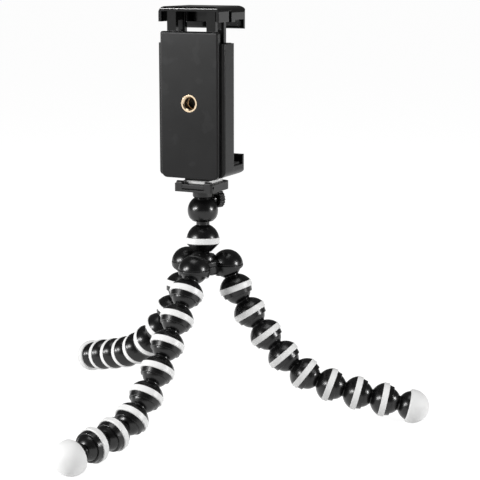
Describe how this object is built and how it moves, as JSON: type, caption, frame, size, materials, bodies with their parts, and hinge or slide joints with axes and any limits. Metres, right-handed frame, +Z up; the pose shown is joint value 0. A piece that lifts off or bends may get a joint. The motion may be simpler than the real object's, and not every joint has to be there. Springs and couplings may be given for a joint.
{
  "type": "flexible leg tripod",
  "caption": "Small black tripod with bendable ball chain legs, white rings and feet, a ball head with lock knob, a quick release platform and a spring clamp for a phone.",
  "frame": {"origin": "on the ground, under the middle of the outer box", "axes": "+Z up, +X along a phone held in the clamp, -Y is the way the clamp's threaded plate faces"},
  "size_m": [0.204, 0.161, 0.1992],
  "materials": {
    "gloss_black_plastic": "gloss",
    "satin_black_plastic": "satin",
    "white_plastic": "satin",
    "white_rubber": "satin",
    "dark_rubber": "matte",
    "brass_insert": "satin",
    "steel": "satin"
  },
  "bodies": {
    "hub": {"hub_upper_shell": "gloss_black_plastic", "hub_lower_shell": "gloss_black_plastic", "hub_screws": "steel"},
    "neck": {"neck_segment": "gloss_black_plastic", "neck_ring": "white_plastic"},
    "head": {"head_housing": "gloss_black_plastic", "head_collar": "gloss_black_plastic", "platform_screw": "steel"},
    "lock_knob": {"lock_knob": "satin_black_plastic", "lock_screw": "steel"},
    "platform": {"platform_base": "satin_black_plastic", "lever_pin": "steel", "shoe_plate": "white_plastic", "shoe_pad": "dark_rubber", "mounting_screw": "steel", "clamp_front_cover": "satin_black_plastic", "clamp_back_body": "satin_black_plastic", "clamp_insert": "brass_insert", "clamp_base_insert": "brass_insert", "clamp_back_pad": "dark_rubber", "lower_jaw_pad": "dark_rubber", "clamp_cover_screws": "steel", "clamp_spring_left": "steel", "clamp_spring_right": "steel"},
    "release_lever": {"release_lever": "satin_black_plastic"},
    "clamp_slider": {"clamp_slider": "satin_black_plastic", "upper_jaw_pad": "dark_rubber"},
    "right_leg_segment_1": {"right_leg_segment_1": "gloss_black_plastic"},
    "right_leg_segment_2": {"right_leg_segment_2": "gloss_black_plastic"},
    "right_leg_segment_3": {"right_leg_segment_3": "gloss_black_plastic"},
    "right_leg_segment_4": {"right_leg_segment_4": "gloss_black_plastic"},
    "right_leg_segment_5": {"right_leg_segment_5": "gloss_black_plastic"},
    "right_leg_segment_6": {"right_leg_segment_6": "gloss_black_plastic"},
    "right_leg_segment_7": {"right_leg_segment_7": "gloss_black_plastic"},
    "right_leg_segment_8": {"right_leg_segment_8": "gloss_black_plastic"},
    "right_leg_foot": {"right_leg_foot_core": "gloss_black_plastic", "right_leg_foot_cap": "white_rubber"},
    "front_leg_segment_1": {"front_leg_segment_1": "gloss_black_plastic"},
    "front_leg_segment_2": {"front_leg_segment_2": "gloss_black_plastic"},
    "front_leg_segment_3": {"front_leg_segment_3": "gloss_black_plastic"},
    "front_leg_segment_4": {"front_leg_segment_4": "gloss_black_plastic"},
    "front_leg_segment_5": {"front_leg_segment_5": "gloss_black_plastic"},
    "front_leg_segment_6": {"front_leg_segment_6": "gloss_black_plastic"},
    "front_leg_segment_7": {"front_leg_segment_7": "gloss_black_plastic"},
    "front_leg_segment_8": {"front_leg_segment_8": "gloss_black_plastic"},
    "front_leg_foot": {"front_leg_foot_core": "gloss_black_plastic", "front_leg_foot_cap": "white_rubber"},
    "rear_leg_segment_1": {"rear_leg_segment_1": "gloss_black_plastic"},
    "rear_leg_segment_2": {"rear_leg_segment_2": "gloss_black_plastic"},
    "rear_leg_segment_3": {"rear_leg_segment_3": "gloss_black_plastic"},
    "rear_leg_segment_4": {"rear_leg_segment_4": "gloss_black_plastic"},
    "rear_leg_segment_5": {"rear_leg_segment_5": "gloss_black_plastic"},
    "rear_leg_segment_6": {"rear_leg_segment_6": "gloss_black_plastic"},
    "rear_leg_segment_7": {"rear_leg_segment_7": "gloss_black_plastic"},
    "rear_leg_segment_8": {"rear_leg_segment_8": "gloss_black_plastic"},
    "rear_leg_foot": {"rear_leg_foot_core": "gloss_black_plastic", "rear_leg_foot_cap": "white_rubber"}
  },
  "joints": [
    {"name": "clamp_slide", "type": "slide", "parent": "platform", "child": "clamp_slider", "axis": [0, 0, 1], "range_m": [-0.0038, 0.0177], "stiffness_N_per_m": 200, "springref_m": -0.03, "deforming": ["clamp_spring_left", "clamp_spring_right"]},
    {"name": "lock_knob_turn", "type": "hinge", "parent": "head", "child": "lock_knob", "pos_m": [-0.00159, 0.03932, 0.10641], "axis": [0.515, 0.8572, 0], "continuous": true},
    {"name": "platform_pan", "type": "hinge", "parent": "head", "child": "platform", "pos_m": [-0.00535, 0.03306, 0.11166], "axis": [0, 0, 1], "continuous": true},
    {"name": "head_tilt", "type": "hinge", "parent": "neck", "child": "head", "pos_m": [-0.00535, 0.03306, 0.10151], "axis": [1, 0, 0], "range_deg": [-19, 10]},
    {"name": "neck_swing", "type": "hinge", "parent": "hub", "child": "neck", "pos_m": [-0.00449, 0.03121, 0.0772], "axis": [0, 1, 0], "range_deg": [-12, 16]},
    {"name": "release_lever_turn", "type": "hinge", "parent": "platform", "child": "release_lever", "pos_m": [-0.00535, 0.02406, 0.11426], "axis": [1, 0, 0], "range_deg": [0, 40]},
    {"name": "right_leg_joint_1", "type": "hinge", "parent": "hub", "child": "right_leg_segment_1", "pos_m": [0.00522, 0.03843, 0.0744], "axis": [0.0175, 0.9998, 0], "range_deg": [-20, 34]},
    {"name": "right_leg_joint_2", "type": "hinge", "parent": "right_leg_segment_1", "child": "right_leg_segment_2", "pos_m": [0.01051, 0.03833, 0.06198], "axis": [0.832, 0.1022, 0.5452], "range_deg": [-31, 25]},
    {"name": "right_leg_joint_3", "type": "hinge", "parent": "right_leg_segment_2", "child": "right_leg_segment_3", "pos_m": [0.01781, 0.03923, 0.05066], "axis": [0.1564, -0.9877, 0], "range_deg": [-34, 24]},
    {"name": "right_leg_joint_4", "type": "hinge", "parent": "right_leg_segment_3", "child": "right_leg_segment_4", "pos_m": [0.02603, 0.04053, 0.04003], "axis": [-0.7335, -0.1162, -0.6696], "range_deg": [-29, 29]},
    {"name": "right_leg_joint_5", "type": "hinge", "parent": "right_leg_segment_4", "child": "right_leg_segment_5", "pos_m": [0.03496, 0.04195, 0.03], "axis": [-0.2079, 0.9781, 0], "range_deg": [-18, 40]},
    {"name": "right_leg_joint_6", "type": "hinge", "parent": "right_leg_segment_5", "child": "right_leg_segment_6", "pos_m": [0.04551, 0.04419, 0.02188], "axis": [0.3265, 0.0998, 0.9399], "range_deg": [-29, 20]},
    {"name": "right_leg_joint_7", "type": "hinge", "parent": "right_leg_segment_6", "child": "right_leg_segment_7", "pos_m": [0.05764, 0.0479, 0.01728], "axis": [0.309, -0.9511, 0], "range_deg": [-34, 24]},
    {"name": "right_leg_joint_8", "type": "hinge", "parent": "right_leg_segment_7", "child": "right_leg_segment_8", "pos_m": [0.07005, 0.05193, 0.01379], "axis": [-0.196, -0.0675, -0.9783], "range_deg": [-28, 30]},
    {"name": "right_leg_joint_9", "type": "hinge", "parent": "right_leg_segment_8", "child": "right_leg_foot", "pos_m": [0.08253, 0.05623, 0.01099], "axis": [-0.3746, 0.9272, 0], "range_deg": [-30, 28]},
    {"name": "front_leg_joint_1", "type": "hinge", "parent": "hub", "child": "front_leg_segment_1", "pos_m": [-0.0031, 0.01919, 0.0744], "axis": [-0.9976, 0.0698, 0], "range_deg": [-47, 12]},
    {"name": "front_leg_joint_2", "type": "hinge", "parent": "front_leg_segment_1", "child": "front_leg_segment_2", "pos_m": [-0.00367, 0.01105, 0.06365], "axis": [0.0971, 0.7904, -0.6048], "range_deg": [-31, 28]},
    {"name": "front_leg_joint_3", "type": "hinge", "parent": "front_leg_segment_2", "child": "front_leg_segment_3", "pos_m": [-0.00466, 0.00294, 0.0529], "axis": [0.9962, -0.0872, 0], "range_deg": [-28, 30]},
    {"name": "front_leg_joint_4", "type": "hinge", "parent": "front_leg_segment_3", "child": "front_leg_segment_4", "pos_m": [-0.00539, -0.00538, 0.04229], "axis": [-0.0675, -0.7718, 0.6323], "range_deg": [-29, 29]},
    {"name": "front_leg_joint_5", "type": "hinge", "parent": "front_leg_segment_4", "child": "front_leg_segment_5", "pos_m": [-0.00614, -0.01388, 0.03183], "axis": [-0.9945, 0.1045, 0], "range_deg": [-34, 24]},
    {"name": "front_leg_joint_6", "type": "hinge", "parent": "front_leg_segment_5", "child": "front_leg_segment_6", "pos_m": [-0.00712, -0.02325, 0.02216], "axis": [0.0892, 0.5634, -0.8213], "range_deg": [-30, 25]},
    {"name": "front_leg_joint_7", "type": "hinge", "parent": "front_leg_segment_6", "child": "front_leg_segment_7", "pos_m": [-0.00885, -0.0342, 0.01446], "axis": [0.9816, -0.1908, 0], "range_deg": [-9, 49]},
    {"name": "front_leg_joint_8", "type": "hinge", "parent": "front_leg_segment_7", "child": "front_leg_segment_8", "pos_m": [-0.01134, -0.04701, 0.01101], "axis": [-0.0159, -0.0818, 0.9965], "range_deg": [-28, 28]},
    {"name": "front_leg_joint_9", "type": "hinge", "parent": "front_leg_segment_8", "child": "front_leg_foot", "pos_m": [-0.01391, -0.06022, 0.00989], "axis": [-0.9781, 0.2079, 0], "range_deg": [-26, 32]},
    {"name": "rear_leg_joint_1", "type": "hinge", "parent": "hub", "child": "rear_leg_segment_1", "pos_m": [-0.01559, 0.03602, 0.0744], "axis": [-0.866, 0.5, 0], "range_deg": [-36, 9]},
    {"name": "rear_leg_joint_2", "type": "hinge", "parent": "rear_leg_segment_1", "child": "rear_leg_segment_2", "pos_m": [-0.01741, 0.03287, 0.0614], "axis": [0.9086, 0.0317, -0.4165], "range_deg": [-39, 12]},
    {"name": "rear_leg_joint_3", "type": "hinge", "parent": "rear_leg_segment_2", "child": "rear_leg_segment_3", "pos_m": [-0.02303, 0.03267, 0.04913], "axis": [-0.2924, -0.9563, 0], "range_deg": [-13, 44]},
    {"name": "rear_leg_joint_4", "type": "hinge", "parent": "rear_leg_segment_3", "child": "rear_leg_segment_4", "pos_m": [-0.03109, 0.03514, 0.03858], "axis": [-0.5751, 0.2682, 0.7729], "range_deg": [-22, 32]},
    {"name": "rear_leg_joint_5", "type": "hinge", "parent": "rear_leg_segment_4", "child": "rear_leg_segment_5", "pos_m": [-0.04055, 0.03955, 0.03001], "axis": [0.515, 0.8572, 0], "range_deg": [-40, 18]},
    {"name": "rear_leg_joint_6", "type": "hinge", "parent": "rear_leg_segment_5", "child": "rear_leg_segment_6", "pos_m": [-0.05073, 0.04566, 0.02359], "axis": [0.2954, -0.1846, -0.9374], "range_deg": [-29, 28]},
    {"name": "rear_leg_joint_7", "type": "hinge", "parent": "rear_leg_segment_6", "child": "rear_leg_segment_7", "pos_m": [-0.06146, 0.05237, 0.01889], "axis": [-0.515, -0.8572, 0], "range_deg": [-25, 33]},
    {"name": "rear_leg_joint_8", "type": "hinge", "parent": "rear_leg_segment_7", "child": "rear_leg_segment_8", "pos_m": [-0.07256, 0.05904, 0.01508], "axis": [-0.2274, 0.1366, 0.9642], "range_deg": [-29, 29]},
    {"name": "rear_leg_joint_9", "type": "hinge", "parent": "rear_leg_segment_8", "child": "rear_leg_foot", "pos_m": [-0.08372, 0.06574, 0.0115], "axis": [0.5446, 0.8387, 0], "range_deg": [-29, 29]}
  ]
}
